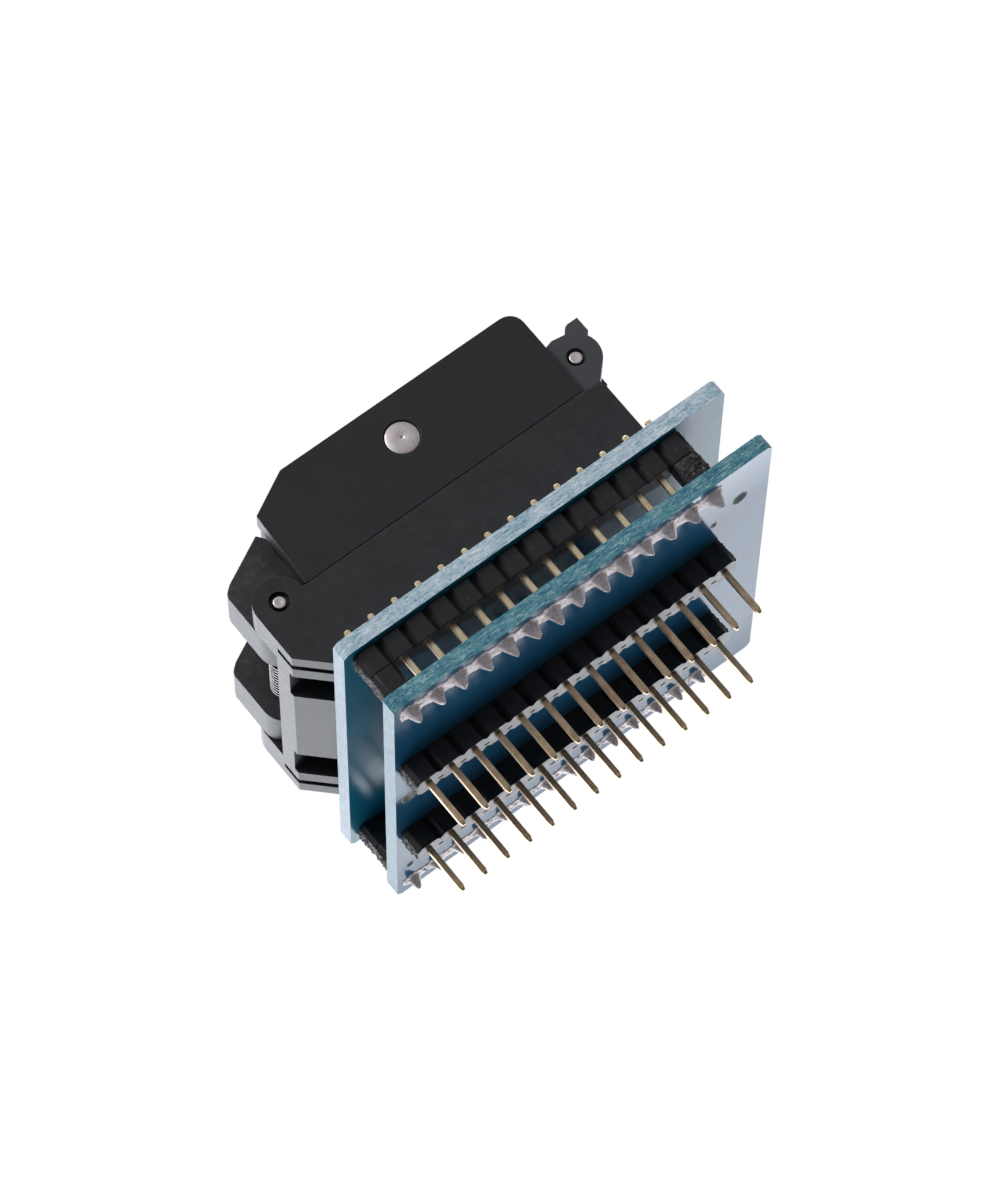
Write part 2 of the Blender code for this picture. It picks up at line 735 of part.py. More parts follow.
def latch_bar_outline():
    """The bar between the prongs; its top lies a little under theirs, at the same slope."""
    left, right = LATCH_BAR_X
    slope = (HEAD_TOP[1] - HEAD_BACK[1]) / (HEAD_TOP[0] - HEAD_BACK[0])
    top_z = HEAD_TOP[1] - 0.07
    return [
        (left, LATCH_BAR_Z),
        (right, LATCH_BAR_Z),
        (right, NOSE_Z[0] - 0.2),
        (NOSE_X, NOSE_Z[0]),
        (NOSE_X, NOSE_Z[1]),
        (HEAD_TOP[0], top_z),
        (left, top_z + slope * (left - HEAD_TOP[0])),
    ]


def make_latch(finish, axis):
    name = "latch"
    near, far = both_sides(PRONG_Y)
    mesh = bmesh.new()
    add_prism(mesh, latch_outline(), near)
    latch = add_object(name, finish_mesh(name, mesh, LATCH_PIN), finish, axis, smooth=True)

    def draw_far_prong(joined):
        add_prism(joined, latch_outline(), far)

    def draw_bar(joined):
        add_prism(joined, latch_bar_outline(), (near[0] + 0.5, far[1] - 0.5))

    def draw_hole(cutter):
        radius = LATCH_PIN_R + RUNNING
        add_shaft(cutter, LATCH_PIN, [(-12, radius), (12, radius)], 16)

    boolean(latch, "UNION", "far_prong", draw_far_prong, LATCH_PIN)
    boolean(latch, "UNION", "latch_bar", draw_bar, LATCH_PIN)
    boolean(latch, "DIFFERENCE", "latch_hole", draw_hole, LATCH_PIN)


def make_pin(name, centre, radius, face_y, finish, parent, origin=(0, 0)):
    """A straight pin along Y whose ends lie just inside the faces at -face_y and face_y."""
    end = face_y - PIN_END_RECESS
    edge = PIN_END_BEVEL
    steps = [(-end, radius - edge), (-end + edge, radius), (end - edge, radius), (end, radius - edge)]
    mesh = bmesh.new()
    add_shaft(mesh, centre, steps, 24 if radius > 1 else 16)
    add_object(name, finish_mesh(name, mesh, origin), finish, parent, smooth=True)


# Springs

def make_wire(name, points, radius, rounding, finish, parent):
    """Spring wire along the points, in millimetres; more rounding gives the section more sides."""
    data = bpy.data.curves.new(name, "CURVE")
    data.dimensions = "3D"
    data.bevel_depth = radius * MM
    data.bevel_resolution = rounding
    data.use_fill_caps = True
    spline = data.splines.new("POLY")
    spline.points.add(len(points) - 1)
    for place, (x, y, z) in zip(spline.points, points):
        place.co = (x * MM, y * MM, z * MM, 1)
    add_object(name, data, finish, parent)


def torsion_coil(centre, radius, y, start, turns):
    """Points along a coil round a pin that lies along Y, start in degrees."""
    count = round(turns * 9)
    points = []
    for i in range(count + 1):
        turn = math.radians(start + 360 * turns * i / count)
        along = y[0] + (y[1] - y[0]) * i / count
        points.append((centre[0] + radius * math.cos(turn), along, centre[1] + radius * math.sin(turn)))
    return points


def nest_coil(x, y):
    """Points along an upright coil under one corner of the nest plate."""
    count = 8 * NEST_COIL_TURNS
    points = []
    for i in range(count + 1):
        turn = 2 * math.pi * NEST_COIL_TURNS * i / count
        z = NEST_COIL_Z[0] + (NEST_COIL_Z[1] - NEST_COIL_Z[0]) * i / count
        points.append((x + NEST_COIL_R * math.cos(turn), y + NEST_COIL_R * math.sin(turn), z))
    return points


def make_springs(finish, parent):
    coil = torsion_coil(LATCH_PIN, LATCH_COIL_R, LATCH_COIL_Y, 0, LATCH_COIL_TURNS)
    upper_leg = (LATCH_PIN[0] + LATCH_COIL_R, LATCH_COIL_Y[0], LATCH_BAR_Z - 0.4)
    lower_leg = (WALL_LEFT_X - 0.4, LATCH_COIL_Y[1], LATCH_PIN[1] - LATCH_COIL_R)
    make_wire("latch_spring", [upper_leg, *coil, lower_leg], TORSION_WIRE_R, 1, finish, parent)

    coil = torsion_coil(HINGE, HINGE_COIL_R, HINGE_COIL_Y, 90, HINGE_COIL_TURNS)
    lid_leg = (LID_END_X[1] + 0.1, HINGE_COIL_Y[0], HINGE[1] + HINGE_COIL_R)
    base_leg = (HINGE[0] - HINGE_COIL_R, HINGE_COIL_Y[1], PARTING_Z + 0.1)
    make_wire("hinge_spring", [lid_leg, *coil, base_leg], TORSION_WIRE_R, 1, finish, parent)

    for row, y in (("near", -NEST_SPRING_AT), ("far", NEST_SPRING_AT)):
        for end, x in (("left", -NEST_SPRING_AT), ("right", NEST_SPRING_AT)):
            make_wire(f"nest_spring_{row}_{end}", nest_coil(x, y), NEST_WIRE_R, 0, finish, parent)


def main():
    for old in list(bpy.data.objects):
        bpy.data.objects.remove(old)
    finishes = {
        "board": material("board_blue", (0.02, 0.11, 0.2), 0.3),
        "header": material("header_black", (0.02, 0.02, 0.022), 0.45),
        "gold": material("pin_gold", (0.78, 0.6, 0.32), 0.28, 1.0),
        "base": material("base_black", (0.03, 0.028, 0.032), 0.4),
        "lid": material("lid_charcoal", (0.045, 0.047, 0.055), 0.38),
        "pad": material("pad_aluminium", (0.6, 0.6, 0.62), 0.35, 1.0),
        "steel": material("pin_steel", (0.6, 0.58, 0.57), 0.3, 1.0),
        "spring": material("spring_steel", (0.7, 0.69, 0.68), 0.25, 1.0),
        "contact": material("contact_brown", (0.16, 0.1, 0.05), 0.4),
        "nest": material("nest_grey", (0.09, 0.09, 0.1), 0.45),
    }
    adapter = empty("adapter", -ORIGIN_X, 0)
    lid_axis = empty("lid_axis", *HINGE, adapter)
    pad_axis = empty("pad_axis", -HINGE[0], PAD_PIN_Z - HINGE[1], lid_axis)
    latch_axis = empty("latch_axis", *LATCH_PIN, adapter)

    pin_half = PIN_WIDTH / 2 + GAP
    tail_half = CONTACT_TAIL_WIDTH / 2 + GAP
    links = [(x, y) for y in (-LINK_ROW_Y, LINK_ROW_Y) for x in pin_places()]
    foot = [(x, y) for y in (-FOOT_ROW_Y, FOOT_ROW_Y) for x in pin_places()]
    tails = [turned(x, y, side) for side in range(4) for x, y in contact_places()]
    lower_holes = [("link", links, pin_half), ("foot", foot, pin_half)]
    upper_holes = [("link", links, pin_half), ("tail", tails, tail_half)]
    finish = finishes["board"]
    lower = make_board("lower_board", LOWER_BOARD_LEFT_X, LOWER_BOARD_Z, lower_holes, finish, adapter)
    hole_z = (LOWER_BOARD_Z - 1, LOWER_TOP_Z + 1)
    boolean(lower, "DIFFERENCE", "lower_board_round_holes", lambda cutter: draw_round_holes(cutter, hole_z))
    make_board("upper_board", UPPER_BOARD_LEFT_X, UPPER_BOARD_Z, upper_holes, finish, adapter)
    make_foot(finishes, adapter)
    make_links(finishes, adapter)
    make_contact_wafers(finishes, adapter)
    make_nest(finishes["nest"], adapter)
    make_base(finishes["base"], adapter)
    make_lid(finishes["lid"], lid_axis)
    make_pressure_pad(finishes, lid_axis, pad_axis)
    make_latch(finishes["lid"], latch_axis)
    make_pin("latch_pin", LATCH_PIN, LATCH_PIN_R, BASE_HALF_Y, finishes["steel"], adapter)
    make_pin("hinge_pin", HINGE, HINGE_PIN_R, HINGE_EAR_Y[1], finishes["steel"], adapter)
    make_springs(finishes["spring"], adapter)


main()
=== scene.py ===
"""Visual model of the clamshell test socket on its two adapter boards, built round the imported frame."""
import math
import random

import bmesh
import bpy
from mathutils import Matrix, Vector


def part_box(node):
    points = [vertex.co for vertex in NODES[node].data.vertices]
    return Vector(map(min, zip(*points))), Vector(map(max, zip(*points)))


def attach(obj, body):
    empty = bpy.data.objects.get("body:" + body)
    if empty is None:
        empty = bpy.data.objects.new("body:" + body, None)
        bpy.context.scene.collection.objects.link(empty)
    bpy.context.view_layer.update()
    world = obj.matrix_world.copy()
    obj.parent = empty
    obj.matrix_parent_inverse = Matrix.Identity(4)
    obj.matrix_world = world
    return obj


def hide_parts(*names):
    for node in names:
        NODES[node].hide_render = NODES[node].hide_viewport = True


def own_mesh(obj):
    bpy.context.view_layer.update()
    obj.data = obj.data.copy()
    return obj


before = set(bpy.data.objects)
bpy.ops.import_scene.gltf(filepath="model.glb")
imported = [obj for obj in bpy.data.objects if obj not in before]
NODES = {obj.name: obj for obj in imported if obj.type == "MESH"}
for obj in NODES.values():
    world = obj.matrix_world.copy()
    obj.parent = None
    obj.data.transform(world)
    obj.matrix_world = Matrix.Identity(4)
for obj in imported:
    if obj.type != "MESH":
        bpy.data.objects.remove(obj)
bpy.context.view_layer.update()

MM = 0.001
ROWS = ("near", "far")
ENDS = ("left", "right")
PINS = 14


def middle(node):
    """The centre of a node's box."""
    low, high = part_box(node)
    return (low + high) / 2


PIN_X = [middle(f"foot_pin_near_{i:02d}").x for i in range(1, PINS + 1)]
FOOT_Y = {row: middle(f"foot_pin_{row}_01").y for row in ROWS}
LINK_Y = {row: middle(f"link_header_{row}").y for row in ROWS}
PITCH = (PIN_X[-1] - PIN_X[0]) / (PINS - 1)
LOWER_Z = (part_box("lower_board")[0].z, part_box("lower_board")[1].z)
UPPER_Z = (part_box("upper_board")[0].z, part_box("upper_board")[1].z)
PIN_HALF = 0.28 * MM
TAIL_ROWS = (4.3 * MM, 5.35 * MM)
TAIL_PITCH = 0.65 * MM
TAILS = 7
TORSION_END = 0.25 * MM
TORSION_WIRE_R = 0.15 * MM
NEST_WIRE_R = 0.14 * MM
NEST_COIL_R = 0.8 * MM
LINK_MOULDING_H = 2.5 * MM
AXIS_X = middle("nest_plate").x
# Bare holes of the lower board: x, y and radius.
HOLES = {
    "mounting": (AXIS_X + 19.82 * MM, -14.53 * MM, 0.8 * MM),
    "via": (AXIS_X + 17.0 * MM, -12.65 * MM, 0.35 * MM),
    "test_point": (AXIS_X - 16.83 * MM, -0.45 * MM, 0.8 * MM),
    "small": (AXIS_X - 16.88 * MM, 15.4 * MM, 0.4 * MM),
}
# Heights, in millimetres, between which the hinge ears turn paler.
EAR_FADE = (24.05, 24.25)


# ---------------------------------------------------------------- camera, lights and floor

def make_camera():
    """Where the photograph was taken from, solved from the pin rows and the corners of the boards."""
    data = bpy.data.cameras.new("camera")
    data.lens = 174.97
    data.sensor_width = 36
    data.clip_start, data.clip_end = 0.02, 20
    camera = bpy.data.objects.new("camera", data)
    right = Vector((0.78892, -0.00841, -0.61444))
    up = Vector((0.55556, -0.41752, 0.71904))
    back = right.cross(up)
    turn = Matrix((right, up, back)).transposed().to_4x4()
    camera.matrix_world = Matrix.Translation((-0.13728, -0.47533, -0.15207)) @ turn
    bpy.context.scene.collection.objects.link(camera)
    bpy.context.scene.camera = camera
    bpy.context.scene.view_settings.view_transform = "Standard"


def make_world():
    """White to the eye. To the object it is a soft grey room with one bright wall beyond +Y."""
    world = bpy.data.worlds.new("studio")
    bpy.context.scene.world = world
    world.use_nodes = True
    tree = world.node_tree
    tree.nodes.clear()
    make = tree.nodes.new
    link = tree.links.new
    where = make("ShaderNodeTexCoord")
    split = make("ShaderNodeSeparateXYZ")
    link(where.outputs["Generated"], split.inputs[0])
    parts = []
    for axis, values in (("Y", (0.3, 0.86, 0, 2.6)), ("Z", (-0.45, 0.2, 0.14, 0.42))):
        part = make("ShaderNodeMapRange")
        part.interpolation_type = "SMOOTHSTEP"
        link(split.outputs[axis], part.inputs["Value"])
        for name, value in zip(("From Min", "From Max", "To Min", "To Max"), values):
            part.inputs[name].default_value = value
        parts.append(part)
    total = make("ShaderNodeMath")
    link(parts[0].outputs["Result"], total.inputs[0])
    link(parts[1].outputs["Result"], total.inputs[1])
    seen = make("ShaderNodeBackground")
    seen.inputs["Color"].default_value = (1, 1, 1, 1)
    room = make("ShaderNodeBackground")
    room.inputs["Color"].default_value = (0.945, 0.975, 1.03, 1)
    link(total.outputs[0], room.inputs["Strength"])
    path = make("ShaderNodeLightPath")
    mix = make("ShaderNodeMixShader")
    link(path.outputs["Is Camera Ray"], mix.inputs[0])
    link(room.outputs[0], mix.inputs[1])
    link(seen.outputs[0], mix.inputs[2])
    out = make("ShaderNodeOutputWorld")
    link(mix.outputs[0], out.inputs["Surface"])


def make_light(name, at, size, power, tint=(1, 1, 1)):
    """A square light that faces the middle of the object."""
    data = bpy.data.lights.new(name, "AREA")
    data.shape = "SQUARE"
    data.size = size
    data.energy = power
    data.color = tint
    light = bpy.data.objects.new(name, data)
    light.location = at
    light.rotation_euler = (Vector(at) - Vector((0, 0, 0.017))).to_track_quat("Z", "Y").to_euler()
    bpy.context.scene.collection.objects.link(light)


def make_floor():
    """A pale table top, clear from below. It sends nothing back, so the underside is lit like the rest."""
    mesh = bmesh.new()
    for x, y in ((-2, -2), (2, -2), (2, 2), (-2, 2)):
        mesh.verts.new((x, y, 0))
    mesh.faces.new(mesh.verts)
    data = bpy.data.meshes.new("floor")
    mesh.to_mesh(data)
    mesh.free()
    floor = bpy.data.objects.new("floor", data)
    bpy.context.scene.collection.objects.link(floor)
    floor.visible_diffuse = False
    floor.visible_glossy = False
    floor.visible_shadow = False
    n = Nodes("floor_paint")
    grain = n.noise(n.millimetres(), 0.05, 3)
    n.put(n.shader.inputs["Base Color"], n.ramp(grain, [(0.3, (0.86, 0.86, 0.865)), (0.7, (0.9, 0.9, 0.9))]))
    n.shader.inputs["Roughness"].default_value = 0.7
    n.shader.inputs["Specular IOR Level"].default_value = 0.2
    side = n.add("ShaderNodeNewGeometry")
    clear = n.add("ShaderNodeBsdfTransparent")
    mix = n.add("ShaderNodeMixShader")
    n.put(mix.inputs[0], side.outputs["Backfacing"])
    n.put(mix.inputs[1], n.shader.outputs[0])
    n.put(mix.inputs[2], clear.outputs[0])
    n.put(n.tree.nodes["Material Output"].inputs["Surface"], mix.outputs[0])
    data.materials.append(n.material)


# ---------------------------------------------------------------- materials

class Nodes:
    """A new material and short ways to add nodes to it."""

    def __init__(self, name):
        self.material = bpy.data.materials.new(name)
        self.material.use_nodes = True
        self.tree = self.material.node_tree
        self.shader = self.tree.nodes["Principled BSDF"]

    def put(self, socket, value):
        if isinstance(value, bpy.types.NodeSocket):
            self.tree.links.new(value, socket)
        elif isinstance(value, tuple) and len(value) == 3 and len(socket.default_value) == 4:
            socket.default_value = (*value, 1)
        else:
            socket.default_value = value

    def add(self, kind, inputs=(), **settings):
        node = self.tree.nodes.new(kind)
        for key, value in settings.items():
            setattr(node, key, value)
        for key, value in inputs:
            self.put(node.inputs[key], value)
        return node

    def millimetres(self, stretch=(1, 1, 1)):
        """Object coordinates in millimetres, stretched along each axis."""
        where = self.add("ShaderNodeTexCoord")
        scale = tuple(1000 * s for s in stretch)
        inputs = ((0, where.outputs["Object"]), (1, scale))
        return self.add("ShaderNodeVectorMath", inputs, operation="MULTIPLY").outputs[0]

    def noise(self, vector, scale, detail=2.0, roughness=0.5, distortion=0.0):
        inputs = (
            ("Vector", vector), ("Scale", scale), ("Detail", detail),
            ("Roughness", roughness), ("Distortion", distortion),
        )
        return self.add("ShaderNodeTexNoise", inputs).outputs["Fac"]

    def cells(self, vector, scale):
        inputs = (("Vector", vector), ("Scale", scale))
        return self.add("ShaderNodeTexVoronoi", inputs).outputs["Distance"]

    def ramp(self, factor, stops):
        node = self.add("ShaderNodeValToRGB", ((0, factor),))
        ramp = node.color_ramp
        while len(ramp.elements) < len(stops):
            ramp.elements.new(0.5)
        for element, (at, colour) in zip(ramp.elements, stops):
            element.position = at
            element.color = (*colour, 1)
        return node.outputs["Color"]

    def level(self, factor, low, high, to_low=0.0, to_high=1.0):
        inputs = ((0, factor), (1, low), (2, high), (3, to_low), (4, to_high))
        return self.add("ShaderNodeMapRange", inputs).outputs["Result"]

    def math(self, operation, a, b=0.0):
        return self.add("ShaderNodeMath", ((0, a), (1, b)), operation=operation).outputs[0]

    def mix(self, factor, a, b):
        node = self.add("ShaderNodeMix", data_type="RGBA")
        self.put(node.inputs[0], factor)
        self.put(node.inputs[6], a)
        self.put(node.inputs[7], b)
        return node.outputs[2]

    def bump(self, height, millimetres, below=None):
        inputs = (("Height", height), ("Strength", 1.0), ("Distance", millimetres * MM))
        node = self.add("ShaderNodeBump", inputs)
        if below is not None:
            self.put(node.inputs["Normal"], below)
        return node.outputs["Normal"]

    def face(self, axis):
        """How far the surface faces along an axis, without sign."""
        normal = self.add("ShaderNodeNewGeometry").outputs["True Normal"]
        parts = self.add("ShaderNodeSeparateXYZ", ((0, normal),))
        return self.math("ABSOLUTE", parts.outputs[axis])

    def edge_wear_and_highlight(self, radius):
        """1 at sharp edges and 0 on flat faces: the mask for paler edges, part wear and part painted
        highlight.
        """
        soft = self.add("ShaderNodeBevel", (("Radius", radius * MM),), samples=4)
        plain = self.add("ShaderNodeNewGeometry").outputs["Normal"]
        pair = ((0, soft.outputs[0]), (1, plain))
        dot = self.add("ShaderNodeVectorMath", pair, operation="DOT_PRODUCT")
        return self.level(dot.outputs["Value"], 0.995, 0.88)

    def finish(self, colour, roughness, normal=None, **values):
        self.put(self.shader.inputs["Base Color"], colour)
        self.put(self.shader.inputs["Roughness"], roughness)
        if normal is not None:
            self.put(self.shader.inputs["Normal"], normal)
        for key, value in values.items():
            self.put(self.shader.inputs[key.replace("_", " ")], value)
        return self.material


def moulded_plastic(
    name, dark, light, roughness, cloud_size=4.5, grain=0.005, smudge=0.0, specks=0.0, ear=(),
):
    """Satin moulding: cloudy tone, spark-eroded grain, pale handling smudges, and paler edges, part wear and
    part painted highlight.

    ear gives the X in millimetres past which the hinge ears are paler, and by how much."""
    n = Nodes(name)
    at = n.millimetres()
    # Pale tone for handling smudges, specks and the hinge ears, and for the painted highlight on edges.
    pale_wear_and_highlight = (0.09, 0.09, 0.1)
    cloud = n.noise(at, 1 / cloud_size, 4, 0.62)
    fine = n.noise(at, 7.0, 2, 0.6)
    flow = n.noise(n.millimetres((1, 1, 0.3)), 1.1, 4, 0.65, 0.8)
    tone = n.math("ADD", n.math("MULTIPLY", cloud, 0.6), n.math("MULTIPLY", flow, 0.4))
    colour = n.ramp(tone, [(0.36, dark), (0.62, light)])
    if smudge:
        rubbed = n.level(n.noise(at, 0.8, 6, 0.7, 0.6), 0.5, 0.72, 0.0, smudge)
        colour = n.mix(rubbed, colour, pale_wear_and_highlight)
    if ear:
        place = n.add("ShaderNodeSeparateXYZ", ((0, at),))
        start, paler = ear
        end = n.level(place.outputs["X"], start, start + 0.2, 0.0, paler)
        end = n.math("MULTIPLY", end, n.level(place.outputs["Z"], *EAR_FADE))
        colour = n.mix(end, colour, pale_wear_and_highlight)
    if specks:
        colour = n.mix(n.level(n.noise(at, 4.0, 1), 0.69, 0.75, 0.0, specks), colour, pale_wear_and_highlight)
    # Paler edges: part wear, part painted highlight.
    colour = n.mix(n.math("MULTIPLY", n.edge_wear_and_highlight(0.09), 0.85), colour, pale_wear_and_highlight)
    mottle = n.math("ADD", fine, n.math("MULTIPLY", flow, 0.5))
    rough = n.level(mottle, 0.45, 1.05, roughness - 0.05, roughness + 0.07)
    return n.finish(colour, rough, n.bump(fine, grain), IOR=1.52)


def header_plastic(name):
    """Black header moulding: satin, with a little dust, and paler edges, part wear and part painted
    highlight.
    """
    n = Nodes(name)
    at = n.millimetres()
    cloud = n.noise(at, 0.9, 4, 0.65)
    colour = n.ramp(cloud, [(0.35, (0.0055, 0.0052, 0.006)), (0.7, (0.012, 0.0115, 0.0135))])
    dust = n.level(n.noise(at, 2.6, 2, 0.7), 0.7, 0.76, 0.0, 0.5)
    colour = n.mix(dust, colour, (0.16, 0.19, 0.2))
    # Paler edges: part wear, part painted highlight on the chamfers.
    colour = n.mix(n.math("MULTIPLY", n.edge_wear_and_highlight(0.05), 0.35), colour, (0.06, 0.06, 0.065))
    rough = n.level(cloud, 0.3, 0.7, 0.3, 0.42)
    return n.finish(colour, rough, n.bump(n.noise(at, 5.0, 2), 0.004), IOR=1.5, Specular_IOR_Level=0.5)


def torn_plastic(name, low, middle, high, deep):
    """Where a header was snapped to length: black plastic with pale stress marks."""
    n = Nodes(name)
    tear = n.noise(n.millimetres((1, 2.0, 0.7)), 2.4, 5, 0.7, 1.0)
    colour = n.ramp(tear, [(0.4, low), (0.53, middle), (0.64, high)])
    rough = n.level(tear, 0.3, 0.7, 0.4, 0.6)
    return n.finish(colour, rough, n.bump(tear, deep), IOR=1.5)


def board_material(name, mask_dark, mask_light, gloss, edge, bend=0.0):
    """Glossy blue solder mask over glass fibre, whose cut edge shows its layers: edge lists four tones.

    bend is how far, in millimetres, the shading alone rises towards the +Y and -Y edges."""
    n = Nodes(name)
    at = n.millimetres()
    flat = n.level(n.face(2), 0.5, 0.6)
    cloud = n.noise(at, 0.12, 3, 0.5)
    mask = n.ramp(cloud, [(0.3, mask_dark), (0.7, mask_light)])
    weave = n.noise(n.millimetres((1, 1, 0)), 1.8, 2)
    mask = n.mix(n.level(weave, 0.3, 0.7, 0.0, 0.2), mask, (0.004, 0.16, 0.26))
    long = n.noise(n.millimetres((0.55, 0.55, 4.2)), 1.5, 5, 0.68, 0.3)
    short = n.noise(n.millimetres((1.8, 1.8, 6)), 1.7, 4, 0.75, 0.3)
    weft = n.noise(n.millimetres((1.0, 1.0, 1.8)), 0.45, 2)
    fibre = n.math("ADD", n.math("MULTIPLY", long, 0.45), n.math("MULTIPLY", short, 0.55))
    fibre = n.math("ADD", fibre, n.level(weft, 0.3, 0.7, -0.03, 0.03))
    cut = n.ramp(fibre, [(0.39, edge[0]), (0.46, edge[1]), (0.54, edge[2]), (0.61, edge[3])])
    # Painted light: cut edges facing along X are made paler than those facing along Y.
    ends = n.level(n.face(0), 0.75, 0.95, 0.0, 0.6)
    cut = n.mix(ends, cut, (0.6, 0.67, 0.75))
    colour = n.mix(flat, cut, mask)
    upright = n.math("SUBTRACT", 1.0, flat)
    ripple = n.noise(at, 0.55, 2)
    rough = n.level(ripple, 0.3, 0.7, gloss - 0.02, gloss + 0.03)
    rough = n.math("ADD", rough, n.math("MULTIPLY", upright, 0.5 - gloss))
    across = n.math("ABSOLUTE", n.add("ShaderNodeSeparateXYZ", ((0, at),)).outputs["Y"])
    bow = n.bump(n.math("POWER", n.level(across, 13, 21), 2), bend)
    waves = n.bump(n.math("MULTIPLY", ripple, flat), 0.012, bow)
    normal = n.bump(n.math("MULTIPLY", fibre, upright), 0.12, waves)
    return n.finish(colour, rough, normal, IOR=1.28)


def plated_metal(name, dark, light, roughness, grain, stretch):
    """Bare or plated metal with drawn streaks along one axis."""
    n = Nodes(name)
    lines = n.noise(n.millimetres(stretch), 3.2, 3, 0.6)
    cloud = n.noise(n.millimetres(), 1.1, 2)
    tone = n.math("ADD", n.math("MULTIPLY", lines, 0.5), n.math("MULTIPLY", cloud, 0.5))
    colour = n.ramp(tone, [(0.36, dark), (0.64, light)])
    rough = n.level(tone, 0.3, 0.7, roughness + 0.07, roughness - 0.04)
    return n.finish(colour, rough, n.bump(lines, grain), Metallic=1.0)


def spring_wire(name):
    """Bright drawn wire, with painted shade where it faces along Y, towards the next turn of a torsion
    spring.
    """
    n = Nodes(name)
    cloud = n.noise(n.millimetres(), 2.4, 3, 0.6)
    colour = n.ramp(cloud, [(0.35, (0.5, 0.475, 0.465)), (0.65, (0.7, 0.67, 0.66))])
    # Painted shade between turns: the wire is darkened where it faces along Y.
    colour = n.mix(n.level(n.face(1), 0.45, 0.8), colour, (0.025, 0.024, 0.025))
    rough = n.level(cloud, 0.3, 0.7, 0.34, 0.24)
    return n.finish(colour, rough, n.bump(cloud, 0.004), Metallic=1.0)


def turned_steel(name):
    """Machined rod: bright ends, and a side darkened with painted shade, with fine lines round it."""
    n = Nodes(name)
    rings = n.noise(n.millimetres((1, 9, 1)), 1.2, 2)
    fine = n.noise(n.millimetres(), 3.0, 3, 0.6)
    tone = n.math("ADD", n.math("MULTIPLY", rings, 0.4), n.math("MULTIPLY", fine, 0.6))
    colour = n.ramp(tone, [(0.35, (0.62, 0.55, 0.55)), (0.65, (0.82, 0.74, 0.74))])
    # Painted shade: every face but the ends, that is the rod's side, is darkened.
    colour = n.mix(n.level(n.face(1), 0.3, 0.5), (0.13, 0.12, 0.12), colour)
    rough = n.level(tone, 0.3, 0.7, 0.5, 0.4)
    normal = n.bump(fine, 0.006, n.bump(rings, 0.008))
    return n.finish(colour, rough, normal, Metallic=1.0)


def solder_material(name):
    """Hand-made joints: bright where it froze smooth, dull and pitted with flux elsewhere."""
    n = Nodes(name)
    at = n.millimetres()
    frost = n.noise(at, 3.0, 4, 0.65)
    pits = n.cells(at, 4.5)
    tones = [(0.34, (0.68, 0.59, 0.59)), (0.5, (0.88, 0.79, 0.79)), (0.66, (0.98, 0.93, 0.93))]
    colour = n.ramp(frost, tones)
    flux = n.level(n.noise(at, 1.3, 3, 0.6), 0.54, 0.66)
    colour = n.mix(n.math("MULTIPLY", flux, 0.35), colour, (0.22, 0.18, 0.15))
    rough = n.level(frost, 0.35, 0.65, 0.55, 0.25)
    metal = n.level(flux, 0.0, 1.0, 0.18, 0.05)
    normal = n.bump(pits, 0.03, n.bump(frost, 0.05))
    return n.finish(colour, rough, normal, Metallic=metal)


# ---------------------------------------------------------------- making pieces

def show(name, mesh, body, finish, replaced=(), smooth=True, angle=35):
    """Adds a bmesh, in metres in the shared frame, as one piece of the object."""
    bmesh.ops.recalc_face_normals(mesh, faces=mesh.faces)
    data = bpy.data.meshes.new(name)
    mesh.to_mesh(data)
    mesh.free()
    data.materials.append(finish)
    if smooth:
        data.shade_smooth()
        data.set_sharp_from_angle(angle=math.radians(angle))
    made = bpy.data.objects.new(name, data)
    bpy.context.scene.collection.objects.link(made)
    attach(made, body)
    if replaced:
        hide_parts(*replaced)
    return made


def add_bevel(piece, width):
    """Rounds the sharp edges by a width in millimetres, after flat faces are joined up again."""
    weld = piece.modifiers.new("weld", "WELD")
    weld.merge_threshold = 1e-6
    flat = piece.modifiers.new("flat", "DECIMATE")
    flat.decimate_type = "DISSOLVE"
    flat.angle_limit = math.radians(0.6)
    bevel = piece.modifiers.new("bevel", "BEVEL")
    bevel.width = width * MM
    bevel.segments = 2
    bevel.limit_method = "ANGLE"
    bevel.angle_limit = math.radians(28)
    bevel.use_clamp_overlap = True
    shade = piece.modifiers.new("shade", "WEIGHTED_NORMAL")
    shade.keep_sharp = True
    piece.data.shade_smooth()


def dress(node, finish, width):
    """Gives a CAD node its finish, and rounds its edges."""
    piece = NODES[node]
    piece.data.materials.clear()
    piece.data.materials.append(finish)
    add_bevel(piece, width)


def circle(sides):
    """Angles of evenly spaced points round a circle."""
    return [2 * math.pi * i / sides for i in range(sides)]


def skin(mesh, rows):
    """Joins each closed row of vertices to the next."""
    for low, high in zip(rows, rows[1:]):
        for i in range(len(low)):
            j = (i + 1) % len(low)
            mesh.faces.new((low[i], low[j], high[j], high[i]))


def loft(mesh, rings):
    """A solid skinned over rings of equal length, with both ends capped."""
    rows = [[mesh.verts.new(point) for point in ring] for ring in rings]
    skin(mesh, rows)
    mesh.faces.new(rows[0])
    mesh.faces.new(rows[-1])


def add_pin(mesh, x, y, levels):
    """A square pin with narrow corner flats: levels lists (z, half width)."""
    rings = []
    for z, half in levels:
        cut = half * 0.8
        right = [(cut, -half), (half, -cut), (half, cut), (cut, half)]
        ring = right + [(-a, -b) for a, b in right]
        rings.append([(x + a, y + b, z) for a, b in ring])
    loft(mesh, rings)


def add_turned(mesh, centre, profile, sides):
    """A body turned about a line along Y: profile lists (y, radius)."""
    rings = []
    for y, r in profile:
        rings.append([(centre.x + r * math.cos(t), y, centre.z + r * math.sin(t)) for t in circle(sides)])
    loft(mesh, rings)


